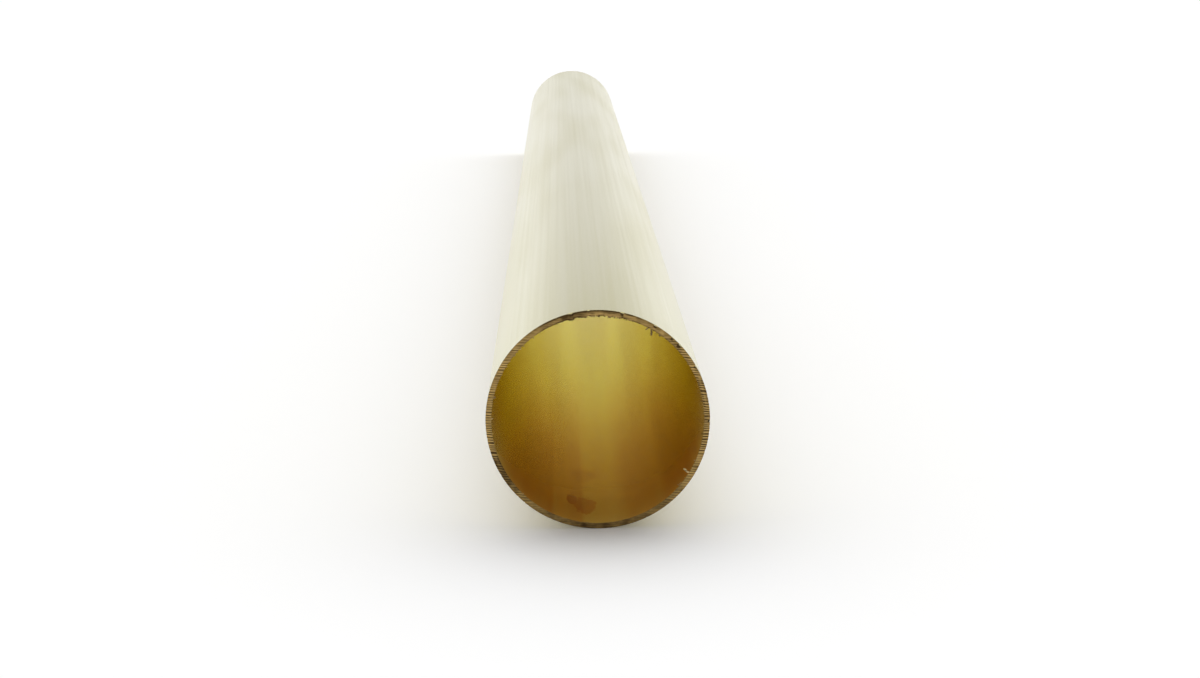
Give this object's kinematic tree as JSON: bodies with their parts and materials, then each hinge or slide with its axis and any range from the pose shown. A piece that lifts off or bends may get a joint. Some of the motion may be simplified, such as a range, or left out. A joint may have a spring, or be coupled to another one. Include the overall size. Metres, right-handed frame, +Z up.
{
  "type": "brass tube",
  "caption": "Round seamless brass tube stock with a thin wall, a straight through bore and square sawn ends, lying on its side.",
  "frame": {"origin": "on the floor, below the middle of the tube's length", "axes": "+Y along the tube, away from the end that the picture shows; +Z up; +X to the right of a viewer who looks into that end"},
  "size_m": [0.0572, 0.9144, 0.057],
  "materials": {
    "brass": "bright drawn outside, satin and slightly tarnished inside the bore, coarse sawn ends"
  },
  "bodies": {
    "root": {"tube": "brass"}
  },
  "joints": []
}
